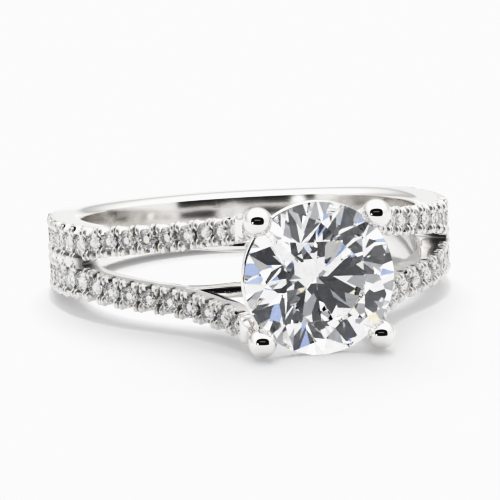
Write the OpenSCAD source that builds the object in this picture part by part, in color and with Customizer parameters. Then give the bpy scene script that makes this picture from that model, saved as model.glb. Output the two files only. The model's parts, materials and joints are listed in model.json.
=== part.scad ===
// A split-band engagement ring with one round brilliant stone, lying on its side.
// Sizes are millimetres. The stone looks towards -Y, the finger hole runs nearly along Z,
// and the ring leans on the underside of its head and on the lower edge of the band's back.
// Inside the ring's own modules the finger hole is centred on the origin and runs along Z.

/* [Band] */
// Inside diameter of the band, across the finger
finger_d = 17; // [16:0.5:18]
// Thickness of the band and of the arms, from inside to outside
band_t = 1.75; // [1.65:0.05:1.8]
// Width of the plain band at its back
back_w = 3; // [2.8:0.1:3.2]
// Width of the band at its shoulders, just before it splits
shoulder_w = 3.66; // [3.6:0.02:3.8]
// Half the arc of plain band at the back, in degrees
plain_half_arc = 72; // [60:1:80]

/* [Rising arms] */
// Angle from the stone at which an arm leaves the finger circle, in degrees
lift_angle = 42.5; // [41:0.5:44]
// Radius of the arm's upward sweep
sweep_r = 11; // [10.5:0.1:11.5]
// Distance by which the centre of an arm's inner curve is set off, which thins the arm to its end
inner_shift = 2.8; // [2.4:0.1:3]
// Angle of the sweep at which the arm ends under its ball tip, in degrees
sweep_end = 80; // [78:0.5:82]
// Angle of the sweep at which the row of small stones ends, in degrees
row_end = 76; // [73:0.5:77]

/* [Hoop below the stone] */
// Thickness of the two thin strands that close the finger circle
strand_t = 1.2; // [1:0.05:1.4]
// Width of one strand
strand_w = 0.68; // [0.6:0.02:0.8]
// Gap between the two strands
strand_gap = 1.6; // [1.4:0.05:1.8]

/* [Centre stone] */
// Diameter of the stone at its girdle
stone_d = 7.4; // [7:0.05:7.6]
// Height of the girdle over the centre of the finger hole
stone_seat_h = 14.8; // [14.6:0.05:15]
// Width of the table as a share of the girdle's diameter
table_share = 0.56; // [0.53:0.01:0.6]
// Height of the crown as a share of the girdle's diameter
crown_share = 0.152; // [0.14:0.002:0.16]
// Depth of the pavilion as a share of the girdle's diameter
pavilion_share = 0.43; // [0.41:0.005:0.44]
// Thickness of the girdle as a share of its diameter
girdle_share = 0.03; // [0.02:0.002:0.04]

/* [Prongs and rail] */
// Distance of a ball tip's centre from the stone's axis, sideways and up or down
ball_off = 2.94; // [2.85:0.01:3]
// Height of the ball tips over the centre of the finger hole
ball_h = 14.9; // [14.8:0.05:15]
// Diameter of a ball tip
ball_d = 1.42; // [1.26:0.02:1.44]
// Diameter of the post below a ball tip
post_d = 1.16; // [1.1:0.02:1.2]
// Length of the post, from its foot inside the arm to the ball tip's centre
post_h = 2.4; // [2.2:0.1:2.6]
// Height of the post's foot above or below the middle of the gap
post_foot = 2.36; // [2.3:0.02:2.4]
// Angle by which a post leans out from the stone's axis, seen along the finger, in degrees
post_out = 6; // [4:0.5:7]
// Diameter of the round rail's wire
rail_wire_d = 0.38; // [0.32:0.01:0.42]
// Outside diameter of the rail
rail_d = 7.44; // [7.4:0.01:7.56]
// Depth of the rail's wire under the girdle's middle
rail_drop = 0.66; // [0.6:0.01:0.7]

/* [Pave rows] */
// Thickness of an arm's wall beside its row of small stones
wall_t = 0.2; // [0.16:0.01:0.24]
// Depth of the channel that holds a row
channel_t = 0.55; // [0.5:0.01:0.6]
// Gap between a row and its channel, and between the stone and its seat
seat_gap = 0.05; // [0.04:0.005:0.06]

/* [Hidden] */
$fn = 96;

metal_colour = "gainsboro";
stone_colour = "aliceblue";
pave_colour = "lightsteelblue";

finger_r = finger_d / 2;
outer_r = finger_r + band_t;
sweep_x = (outer_r + sweep_r) * sin(lift_angle);
sweep_y = -(outer_r + sweep_r) * cos(lift_angle);
far = 3 * outer_r;

// Half widths of the band and of the gap between its arms, by height towards the stone.
// Columns: height over the finger's centre, half of the gap, half of the whole width.
split_h = 3.75;
HEIGHT = 0;
GAP_HALF = 1;
WIDE_HALF = 2;
WIDTHS = [
    [-outer_r - 1,  0,    back_w / 2 - 0.01],
    [-outer_r,      0,    back_w / 2],
    [-3.2,          0,    shoulder_w / 2],
    [split_h,       0,    shoulder_w / 2],
    [4.25,          0.22, 1.86],
    [4.8,           0.38, 1.92],
    [5.9,           0.55, 2.04],
    [7.3,           0.76, 2.18],
    [8.3,           0.89, 2.3],
    [9.4,           1.08, 2.48],
    [10.5,          1.3,  2.66],
    [11.7,          1.48, 2.82],
    [12.8,          1.7,  3.02],
    [13.8,          2.0,  3.26],
    [15,            2.3,  3.5]];
SHOULDER_ROW = 3;
// On its inner side the gap runs on towards the back: half of its width there, the depth at which
// that begins, and the angle from the stone that it reaches
relief_half = 0.2;
relief_depth = 0.75;
relief_end = 79;

stone_r = stone_d / 2;
table_r = table_share * stone_r;
crown_h = crown_share * stone_d;
pavilion_h = pavilion_share * stone_d;
girdle_half = girdle_share * stone_d / 2;
table_y = -(stone_seat_h + girdle_half + crown_h);
// The stone has eight main facets, turned by half a step so that two edges of the table lie level
mains = 8;
half_step = 180 / mains;
// A star facet reaches halfway to the girdle, and a lower girdle facet most of the way to the culet
lower_reach = 0.77;
star_r = (table_r * cos(half_step) + stone_r) / 2;
lower_r = (1 - lower_reach) * stone_r;
// Degrees by which the strands of the hoop run on into the arms
strand_lap = 8;

// The lean at which a round part of the head, its centre at height h and off the axis, touches
// the plane under the lower edge of the band's back
function touch(h, off, r) = atan2(off - back_w / 2, h + outer_r) + asin(r / norm([off - back_w / 2, h + outer_r]));
rail_h = stone_seat_h - rail_drop;
rail_r = (rail_d - rail_wire_d) / 2;
lean = max(touch(rail_h, rail_r, rail_wire_d / 2), touch(ball_h, ball_off, ball_d / 2),
           touch(stone_seat_h - girdle_half, stone_r, 0));
lift = outer_r * sin(lean) + back_w / 2 * cos(lean);
front = -table_y * cos(lean) + table_r * cos(half_step) * sin(lean);
back = outer_r * cos(lean) + back_w / 2 * sin(lean);

// A point at an angle from the stone's direction, on the right side of the ring
function around(angle, r) = [r * sin(angle), -r * cos(angle)];

// The ring's own frame set down on the ground, with the box of the whole ring centred over the origin
module set_down() {
    translate([0, (front - back) / 2, lift]) rotate([-lean, 0, 0]) children();
}

// A flat outline of (Y, Z) points, pushed through the ring along X from x0 to x1
module across(x0, x1) {
    translate([x0, 0, 0]) rotate([90, 0, 90]) linear_extrude(x1 - x0) children();
}

// A flat wedge between two angles from the stone's direction, seen along the finger
module wedge(from, to) {
    steps = 8;
    polygon(concat([[0, 0]], [for (i = [0 : steps]) around(from + (to - from) * i / steps, far)]));
}

// Side view of the finger circle's share of the band, between two depths under its outer face
module circle_view(top, bottom, from, to) {
    intersection() {
        difference() {
            circle(outer_r - top);
            circle(outer_r - bottom);
        }
        wedge(from, to);
    }
}

// Side view of the upward sweep of the arms on one side, between two depths under its outer face
module sweep_view(side, top, bottom, to) {
    translate([side * sweep_x, sweep_y]) intersection() {
        difference() {
            circle(sweep_r + bottom);
            circle(sweep_r + top);
        }
        rotate(180) wedge(side * lift_angle, side * to);
    }
}

// Side view of the arms on one side, with an inner curve set off-centre so that they thin to their ends
module arm_view(side) {
    translate([side * sweep_x, sweep_y]) intersection() {
        difference() {
            translate([-side * inner_shift * sin(lift_angle), inner_shift * cos(lift_angle)])
                circle(sweep_r + band_t - inner_shift);
            circle(sweep_r);
        }
        rotate(180) wedge(side * lift_angle, side * sweep_end);
    }
}

// The inner end of the gap between the right-hand arms
module split_relief() {
    r = outer_r - relief_depth;
    translate([0, 0, -relief_half]) linear_extrude(2 * relief_half)
        polygon([around(acos(split_h / r), r), around(relief_end, finger_r - 0.1),
                 around(acos(split_h / finger_r) - 2, finger_r - 0.1)]);
}

// Front view of the whole band and its arms in (Y, Z)
module whole_width() {
    last = len(WIDTHS) - 1;
    polygon(concat([for (row = WIDTHS) [-row[HEIGHT], row[WIDE_HALF]]],
                   [for (i = [last : -1 : 0]) [-WIDTHS[i][HEIGHT], -WIDTHS[i][WIDE_HALF]]]));
}

// Front view of the eye-shaped gap between the upper and the lower arms
module eye_gap() {
    rows = [for (i = [SHOULDER_ROW : len(WIDTHS) - 1]) WIDTHS[i]];
    last = len(rows) - 1;
    polygon(concat([for (row = rows) [-row[HEIGHT], row[GAP_HALF]]],
                   [for (i = [last : -1 : 1]) [-rows[i][HEIGHT], -rows[i][GAP_HALF]]]));
}

// Front view of the upper row of small stones, set in by margin from both faces of its arm
module row_view(margin) {
    last = len(WIDTHS) - 1;
    polygon(concat([for (row = WIDTHS) [-row[HEIGHT], row[WIDE_HALF] - margin]],
                   [for (i = [last : -1 : 0]) [-WIDTHS[i][HEIGHT], WIDTHS[i][GAP_HALF] + margin]]));
}

// One row of small stones, or the channel for it: the right-hand upper one
module row(top, bottom, margin, end_gap) {
    intersection() {
        linear_extrude(2 * shoulder_w) {
            circle_view(top, bottom, lift_angle, 180 - plain_half_arc - end_gap);
            sweep_view(1, top, bottom, row_end - end_gap);
        }
        across(0, far) row_view(margin);
    }
}

// The four places of a row: right or left, upper or lower
module placed(side, level) {
    mirror([side < 0 ? 1 : 0, 0, 0]) mirror([0, 0, level < 0 ? 1 : 0]) children();
}

module four_places() {
    for (side = [-1, 1], level = [-1, 1]) placed(side, level) children();
}

// Band and arms in one: the side view cut to its width, with the eye-shaped gap taken out
module band_and_arms() {
    difference() {
        intersection() {
            translate([0, 0, -shoulder_w]) linear_extrude(2 * shoulder_w) {
                circle_view(0, band_t, lift_angle, 360 - lift_angle);
                for (side = [-1, 1]) arm_view(side);
            }
            across(-far, far) whole_width();
        }
        across(-far, far) eye_gap();
        for (side = [0, 1]) mirror([side, 0, 0]) split_relief();
    }
}

// The two thin strands that carry the finger circle on below the stone
module hoop_strands() {
    for (level = [-1, 1]) mirror([0, 0, level < 0 ? 1 : 0])
        translate([0, 0, strand_gap / 2]) linear_extrude(strand_w) intersection() {
            difference() {
                circle(finger_r + strand_t);
                circle(finger_r);
            }
            wedge(-lift_angle - strand_lap, lift_angle + strand_lap);
        }
}

// A post with its ball tip, whose foot lies inside the end of its arm: the right-hand upper one
module prong() {
    rise = ball_off - post_foot;
    translate([ball_off, -ball_h, ball_off]) {
        sphere(d = ball_d);
        rotate([0, 0, -post_out]) rotate([-90 - asin(rise / post_h), 0, 0]) cylinder(h = post_h, d = post_d);
    }
}

module gallery_rail() {
    translate([0, -rail_h, 0]) rotate([90, 0, 0])
        rotate_extrude() translate([rail_r, 0]) circle(d = rail_wire_d);
}

// The stone's outline spun round its axis and grown by the gap, which is cut out of the prongs
module stone_seat() {
    translate([0, -stone_seat_h, 0]) rotate([90, 0, 0]) rotate_extrude() polygon([
        [0, -girdle_half - pavilion_h - seat_gap],
        [stone_r + seat_gap, -girdle_half - seat_gap / 2],
        [stone_r + seat_gap, girdle_half + seat_gap / 2],
        [table_r + seat_gap, girdle_half + crown_h + seat_gap],
        [0, girdle_half + crown_h + seat_gap]]);
}

// The whole white-gold mount, with the channels and the stone's seat cut out of it
module setting() {
    color(metal_colour) set_down() difference() {
        union() {
            band_and_arms();
            hoop_strands();
            four_places() prong();
            gallery_rail();
        }
        four_places() row(-channel_t, channel_t, wall_t, 0);
        stone_seat();
    }
}

// One ring of eight or sixteen corners of the brilliant cut
function corners(count, r, h, turn) =
    [for (i = [0 : count - 1]) [r * cos(turn + i * 360 / count), r * sin(turn + i * 360 / count), h]];

// A round brilliant with its table up, its girdle's middle at z = 0
module brilliant() {
    star_h = crown_h * (stone_r - star_r * cos(half_step)) / (stone_r - table_r);
    lower_h = pavilion_h * (1 - lower_r * cos(half_step) / stone_r);
    points = concat(
        corners(mains, table_r, girdle_half + crown_h, 0),
        corners(mains, star_r, girdle_half + star_h, half_step),
        corners(2 * mains, stone_r, girdle_half, 0),
        corners(2 * mains, stone_r, -girdle_half, 0),
        corners(mains, lower_r, -girdle_half - lower_h, half_step),
        [[0, 0, -girdle_half - pavilion_h]]);
    edge = 2 * mains;
    table = 0;
    star = table + mains;
    upper = star + mains;
    under = upper + edge;
    lower = under + edge;
    culet = lower + mains;
    faces = concat(
        [[for (i = [mains - 1 : -1 : 0]) table + i]],
        [for (i = [0 : mains - 1]) [table + i, table + (i + 1) % mains, star + i]],
        [for (i = [0 : mains - 1]) [table + i, star + i, upper + 2 * i]],
        [for (i = [0 : mains - 1]) [table + i, upper + 2 * i, star + (i + mains - 1) % mains]],
        [for (i = [0 : mains - 1]) [star + i, upper + 2 * i + 1, upper + 2 * i]],
        [for (i = [0 : mains - 1]) [star + i, upper + (2 * i + 2) % edge, upper + 2 * i + 1]],
        [for (i = [0 : edge - 1]) [upper + i, upper + (i + 1) % edge, under + (i + 1) % edge]],
        [for (i = [0 : edge - 1]) [upper + i, under + (i + 1) % edge, under + i]],
        [for (i = [0 : mains - 1]) [lower + i, under + 2 * i, under + 2 * i + 1]],
        [for (i = [0 : mains - 1]) [lower + i, under + 2 * i + 1, under + (2 * i + 2) % edge]],
        [for (i = [0 : mains - 1]) [culet, under + 2 * i, lower + i]],
        [for (i = [0 : mains - 1]) [culet, lower + (i + mains - 1) % mains, under + 2 * i]]);
    polyhedron(points, faces, convexity = 2);
}

module centre_stone() {
    color(stone_colour) set_down() translate([0, -stone_seat_h, 0]) rotate([90, 0, 0])
        rotate([0, 0, half_step]) brilliant();
}

// One row of small stones in its bead setting, clear of its channel by the gap
module pave_row(side, level) {
    color(pave_colour) set_down() placed(side, level)
        row(0, channel_t - seat_gap, wall_t + seat_gap, seat_gap / outer_r * 180 / PI);
}

setting();
centre_stone();
pave_row(-1, 1);  // pave_left_upper
pave_row(-1, -1);  // pave_left_lower
pave_row(1, 1);  // pave_right_upper
pave_row(1, -1);  // pave_right_lower
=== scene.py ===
"""Solitaire ring with a split pave band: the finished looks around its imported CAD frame."""

import json
import math

import bmesh
import bpy
from bpy.props import FloatProperty, FloatVectorProperty, IntProperty, PointerProperty
from mathutils import Matrix, Vector


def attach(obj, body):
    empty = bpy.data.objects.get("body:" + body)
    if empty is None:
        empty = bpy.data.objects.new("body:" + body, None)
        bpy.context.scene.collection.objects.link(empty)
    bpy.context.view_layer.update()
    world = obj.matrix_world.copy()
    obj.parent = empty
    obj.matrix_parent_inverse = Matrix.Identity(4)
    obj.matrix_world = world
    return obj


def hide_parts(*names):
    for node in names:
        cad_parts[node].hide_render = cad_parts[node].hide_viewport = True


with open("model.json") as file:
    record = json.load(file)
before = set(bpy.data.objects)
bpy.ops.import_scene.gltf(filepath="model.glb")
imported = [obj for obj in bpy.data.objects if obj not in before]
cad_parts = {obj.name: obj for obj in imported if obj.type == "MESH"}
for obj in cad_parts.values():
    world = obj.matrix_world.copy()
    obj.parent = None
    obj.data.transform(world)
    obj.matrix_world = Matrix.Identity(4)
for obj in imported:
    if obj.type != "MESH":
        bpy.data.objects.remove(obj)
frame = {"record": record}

bl_info = {
    "name": "Split Band Solitaire Ring",
    "version": (1, 0, 0),
    "blender": (4, 5, 0),
    "location": "View3D > Sidebar > Ring",
    "description": "Builds a solitaire ring with a split pave band, and a studio for it",
    "category": "Add Mesh",
}

MM = 0.001
HOLE = frame["record"]["mounts"][0]
HOLE_MIDDLE = Vector(HOLE["pos_m"])

# The four places of an arm: side, level, and the signs that mirror the upper right arm to that place
PLACES = (
    ("right", "upper", 1, 1),
    ("right", "lower", 1, -1),
    ("left", "upper", -1, 1),
    ("left", "lower", -1, -1),
)

# The band's half widths by height towards the stone, in millimetres: height, then half width.
# The eye-shaped gap opens at the split and is given by its own rows.
EDGE_ROWS = ((-11.25, 1.49), (-10.25, 1.5), (-3.2, 1.83), (4.0, 1.83), (4.8, 1.92), (5.9, 2.04), (7.3, 2.18),
             (8.3, 2.3), (9.4, 2.48), (10.5, 2.66), (11.7, 2.82), (12.8, 3.02), (13.8, 3.26), (15.0, 3.5))
GAP_ROWS = ((4.8, 0.38), (5.9, 0.55), (7.3, 0.76), (8.3, 0.89), (9.4, 1.08), (10.5, 1.3), (11.7, 1.48),
            (12.8, 1.7), (13.8, 2.0), (15.0, 2.3))

# Shares of an arm's width, from the gap to the outer edge
AT_GAP, MIDDLE, AT_EDGE = 0.0, 0.5, 1.0

# The gap counts as open past this half width
OPEN_GAP = 0.2 * MM
# How much the gap's first stretch is flatter than a round nose
NOSE_DIP = 0.06
# Distances from the split within which the sections bend back fully, and past which they don't bend
SPLIT_BEND = (0.8 * MM, 4.5 * MM)
# Slack at both ends of a row of small stones
ROW_SLACK = 1e-7
# Least thickness of an arm under a scallop, and least flat metal between a scallop and the inner bevel
LEAST_ARM = 0.8 * MM
LEAST_FLAT = 0.04 * MM
# The scallops grow from this share of their depth, over these numbers of stones from the row's far end
SCALLOP_START = 0.3
SCALLOP_GROWTH = (1.5, 5.5)
# Depths of the last points on the side along the gap
GAP_SIDE_DEPTHS = (0.85 * MM, 0.62 * MM)
# Distance past the row at which the arm's end starts to swell into a round pad
PAD_START = 0.02 * MM
# Steps of the inner bevel and of the rounding along the gap, and shares of the inner wall's swell
BEVEL_STEPS = 6
GAP_ROUND_STEPS = 5
SWELL_SHARES = (0.05, 0.25, 0.45)
# Points of a cross-section from the gap over the face: at the end of the wall along the gap, of the
# channel's floor, of the outer wall's top and of the face with the outer side
WALL_POINTS, FLOOR_POINTS, TOP_POINTS, FACE_POINTS = 4, 6, 10, 12
# The first point on the side along the gap, under the inner edge
GAP_SIDE_POINT = FACE_POINTS + (BEVEL_STEPS + 1) + len(SWELL_SHARES) + (GAP_ROUND_STEPS + 1)

# Painted shade: how much darker the metal's colour is made where little light comes, from 0 to 1
SPLIT_SHADE = 0.85
GAP_WALL_SHADE = 0.12
NOTCH_SHADE = 0.35
SLOT_SHADE = 0.95
FLOOR_SHADE = 0.1
# The split's shade is full at the first distance from its middle and gone at the second
SPLIT_SHADE_SPAN = (0.2 * MM, 1.0 * MM)
SPLIT_SHADE_OFFSET = 0.1 * MM

# The strands: how far they lap into the arms, where they flare, their rounding and steps
STRAND_LAP = math.radians(6)
STRAND_FLARE = (math.radians(15), math.radians(32))
STRAND_ROUND = 0.16 * MM
STRAND_STEPS = 64

# Sides of a small stone's and of the centre stone's girdle
SMALL_SIDES = 16
CENTRE_SIDES = 96
# Distances at which points of a mesh count as one
MERGE = 2e-7
FINE_MERGE = 1e-8
FINEST_MERGE = 1e-9

# Seeds of the small stones' first row and of the beads, and the beads' tilt
STONE_SEED = 11
BEAD_SEED = 3
BEAD_TILT = 0.04
# Plain metal that is left between the last bead and the arm's end
BEAD_END_GAP = 0.3 * MM

# Roughness that the polish's faint clouds add, their mean, and what the seats' painted shade adds
CLOUD_ROUGH = 0.05
CLOUD_MEAN = 0.02
SEAT_ROUGH = 0.3
# The wear of the band's back grows over these places, which run away from the stone
WORN_SPAN = (-1 * MM, 10 * MM)

# Brightness of the white tent against its roof: in front, under the floor and along the horizon behind
TENT_FRONT = 0.8
TENT_UNDER = 0.95
TENT_HORIZON = 0.78
# Where the tent changes, as part of a unit direction: from front to back, from wall to roof, off the
# horizon and under the floor
TENT_BACK_SPAN = (0.0, 0.75)
TENT_ROOF_SPAN = (0.15, 0.7)
TENT_HORIZON_SPAN = (0.08, 0.2)
TENT_UNDER_SPAN = (0.0, -0.02)

# The picture's tone curve as brightness and shown brightness, and the same for full white
TONES = ((0.16, 0.08), (0.42, 0.39), (0.75, 0.78))
FULL_WHITE = (1.0, 0.968)


def length(name, description, millimetres):
    """A length that the user can change, given here in millimetres."""
    return FloatProperty(
        name=name, description=description, default=millimetres * MM, unit="LENGTH", precision=5)


def angle(name, description, degrees):
    """An angle that the user can change, given here in degrees."""
    default = math.radians(degrees)
    return FloatProperty(name=name, description=description, default=default, subtype="ANGLE")


def share(name, description, default):
    """A share between nothing and all."""
    return FloatProperty(
        name=name, description=description, default=default, min=0.0, max=1.0, subtype="FACTOR")


def colour(name, description, default):
    """A colour without alpha."""
    return FloatVectorProperty(
        name=name, description=description, default=default, size=3, min=0.0, subtype="COLOR")


def power(name, description, watts):
    """A lamp's power that the user can change."""
    return FloatProperty(name=name, description=description, default=watts, min=0.0, unit="POWER")


class BandSizes(bpy.types.PropertyGroup):
    """Sizes of the band, its rising arms and the parts under the stone"""

    finger_d: length("Finger hole", "Inside diameter of the band", 2 * HOLE["dims"]["r_mm"])
    band_t: length("Thickness", "Thickness of the band and of the arms", 1.75)
    lift_angle: angle("Lift", "Angle from the stone at which an arm leaves the finger circle", 42.5)
    sweep_r: length("Sweep", "Radius of an arm's upward sweep", 11)
    sweep_end: angle("Sweep end", "Angle of the sweep at which the arm ends", 80)
    inner_shift: length("Inner shift", "Shift of the arm's inner curve, which thins the arm", 2.8)
    split_h: length("Split", "Height of the split over the finger hole's middle", 3.75)
    split_run: length("Split run", "Distance that the split runs further back on the inside", 1.5)
    comfort_front: length("Inner rounding, front", "Rounding of the inner edges of the arms", 0.34)
    comfort_back: length("Inner bevel, back", "Height of the curved bevel on the back's inner edges", 0.3)
    comfort_wide: length("Inner bevel, width", "Width of the curved bevel on the back's inner edges", 0.8)
    comfort_turn: angle("Inner bevel, turn", "Angle through which the curved bevel turns", 50)
    comfort_swell: length("Inner swell", "Height by which the inner wall swells at the back", 0.09)
    gap_round: length("Gap rounding", "Rounding of the inner edges along the gap", 0.3)
    outer_round: length("Outer rounding", "Rounding of the plain band's outer edges", 0.16)
    strand_t: length("Strand depth", "Depth of the thin strands below the stone", 1.2)
    strand_w: length("Strand width", "Width of one strand", 0.68)
    strand_gap: length("Strand gap", "Gap between the two strands", 1.6)
    strand_flare: length("Strand flare", "Distance by which a strand spreads towards the arms", 0.14)
    rail_h: length("Rail height", "Height of the round rail over the middle of the finger hole", 14.14)
    rail_r: length("Rail radius", "Radius of the rail's middle line", 3.53)
    rail_wire: length("Rail wire", "Diameter of the rail's wire", 0.38)
    ball_off: length("Ball offset", "Distance of a ball tip from the stone's axis, sideways and up", 2.94)
    ball_h: length("Ball height", "Height of the ball tips over the middle of the finger hole", 14.9)
    ball_d: length("Ball", "Diameter of a ball tip", 1.42)
    post_d: length("Post", "Diameter of a post where it meets its ball tip", 1.2)


class StoneSizes(bpy.types.PropertyGroup):
    """Sizes and proportions of the stones"""

    stone_d: length("Centre stone", "Diameter of the centre stone", 7.4)
    seat_h: length("Seat height", "Height of the girdle over the middle of the finger hole", 14.8)
    table: share("Table", "Width of the table as a share of the diameter", 0.56)
    crown: share("Crown", "Height of the crown as a share of the diameter", 0.152)
    pavilion: share("Pavilion", "Depth of the pavilion as a share of the diameter", 0.43)
    girdle: share("Girdle", "Thickness of the girdle as a share of the diameter", 0.03)
    lower_reach: share("Lower facets", "Share of the pavilion that the lower girdle facets reach down", 0.77)
    small_d: length("Small stone", "Diameter of a small stone", 1.08)
    small_table_d: length("Small stone depth", "Depth of a small stone's table under the band's face", 0.05)
    tilt: angle("Tilt", "Largest tilt of a small stone in its seat", 2.5)


class PaveSizes(bpy.types.PropertyGroup):
    """Sizes of the channels, scallops and beads that hold the small stones"""

    pitch: length("Pitch", "Distance from one small stone to the next", 1.21)
    first: length("First stone", "Place of the stone next to the ball tip, from the arm's foot", 5.95)
    count: IntProperty(name="Stones", description="Small stones in one row", default=15, min=1)
    wall: length("Outer wall", "Thickness of the wall along a row's outer side", 0.36)
    gap_wall: length("Gap wall", "Thickness of the wall along the gap", 0.28)
    channel: length("Channel", "Depth of the channel under a row", 0.56)
    rim: length("Rim", "Depth of the outer wall's top under the band's face", 0.12)
    gap_rim: length("Gap rim", "Depth of the top of the wall along the gap", 0.12)
    scallop: length("Scallop", "Half width of the scallop in the outer wall beside a stone", 0.37)
    scallop_depth: length("Scallop depth", "Depth of the scallop where it leaves the arm's side", 0.46)
    # The cut between two beads is real; its dark colour is painted shade from the seat attribute
    notch: length("Notch", "Half width of the dark cut between the two beads of a pair", 0.085)
    notch_depth: length("Notch depth", "Depth of the cut between the two beads of a pair", 0.25)
    slot: length("Slot", "Half width of the slot in the wall along the gap", 0.14)
    slot_depth: length("Slot depth", "Depth of the slot in the wall along the gap", 0.45)
    bead_half: FloatVectorProperty(
        name="Bead",
        description="Half sizes of a bead: along the row, across it and in depth",
        default=(0.12 * MM, 0.3 * MM, 0.3 * MM),
        unit="LENGTH",
        precision=5,
    )
    bead_apart: length("Bead spacing", "Distance of a bead from the middle between two stones", 0.165)
    bead_inset: length("Bead inset", "Distance of a bead's middle from the arm's edge", 0.26)


class Finishes(bpy.types.PropertyGroup):
    """Colours and gloss of the metal and of the stones"""

    metal: colour("White gold", "Colour of the polished white gold", (0.89, 0.88, 0.865))
    metal_rough: share("Metal roughness", "Roughness of the polished metal", 0.05)
    worn_rough: share("Worn roughness", "Extra roughness of the worn back of the band", 0.09)
    # Painted shade: the dark colour the gold takes in channels, cuts, slots and the split, where little
    # light comes
    seat_metal: colour("Seat metal", "Colour of the metal under the small stones", (0.16, 0.155, 0.15))
    bead_rough: share("Bead roughness", "Roughness of the small beads", 0.36)
    stone: colour("Stone", "Colour of the centre stone", (1.0, 1.0, 1.0))
    stone_ior: FloatProperty(
        name="Refraction", description="Refractive index of the stones", default=2.42, min=1.0)
    stone_gleam: share("Gleam", "Strength of the mirroring on the centre stone's facets", 0.4)
    small_gleam: share("Small gleam", "Strength of the mirroring on the small stones' facets", 1.0)


class StageSizes(bpy.types.PropertyGroup):
    """Where the camera stands and how the studio is lit"""

    azimuth: angle("Azimuth", "Direction of the camera round the ring", -13.1)
    elevation: angle("Elevation", "Height of the camera over the floor", 12.62)
    roll: angle("Roll", "Turn of the camera about its own axis", 1.3)
    distance: length("Distance", "Distance from the camera to the middle of the finger hole", 250)
    lens: FloatProperty(
        name="Lens", description="Focal length of the camera", default=353.0, min=10.0, unit="CAMERA")
    aim_right: length("Aim right", "Sideways offset of the picture's middle from the finger hole", 0.06)
    aim_up: length("Aim up", "Upward offset of the picture's middle from the finger hole", -0.4)
    floor: colour("Floor", "Colour of the floor", (0.52, 0.52, 0.526))
    floor_glow: share("Floor glow", "Brightness of the light that comes through the floor", 0.2)
    floor_front: length("Floor front", "Distance from the ring to the floor's front edge", 47)
    sky: FloatProperty(
        name="Tent", description="Brightness of the white tent", default=1.18, min=0.0, soft_max=3.0)
    back_wall: share("Back wall", "Brightness of the tent behind the ring, against its roof", 0.48)
    key: power("Key light", "Power of the soft light over the ring", 2.1)
    inner: power("Inner light", "Power of the narrow light over the finger hole", 3.2)


def blend(low, high, x):
    """A smooth step from 0 at low to 1 at high."""
    t = min(1.0, max(0.0, (x - low) / (high - low)))
    return t * t * (3 - 2 * t)


def mix(a, b, t):
    """The value at share t between a and b."""
    return a + (b - a) * t


class SmoothCurve:
    """A curve through given points which never swings past them."""

    def __init__(self, rows):
        self.rows = [(x * MM, y * MM) for x, y in rows]
        slopes = [(y1 - y0) / (x1 - x0) for (x0, y0), (x1, y1) in zip(self.rows, self.rows[1:])]
        inner = [2 * a * b / (a + b) if a * b > 0 else 0.0 for a, b in zip(slopes, slopes[1:])]
        self.slopes = [slopes[0], *inner, slopes[-1]]

    def __call__(self, x):
        last = len(self.rows) - 2
        i = next((k for k in range(last + 1) if x < self.rows[k + 1][0]), last)
        (x0, y0), (x1, y1) = self.rows[i], self.rows[i + 1]
        step = x1 - x0
        t = min(1.0, max(0.0, (x - x0) / step))
        start, end = self.slopes[i] * step, self.slopes[i + 1] * step
        return (y0 + t * start + t * t * (3 * (y1 - y0) - 2 * start - end)
                + t * t * t * (2 * (y0 - y1) + start + end))


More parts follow.
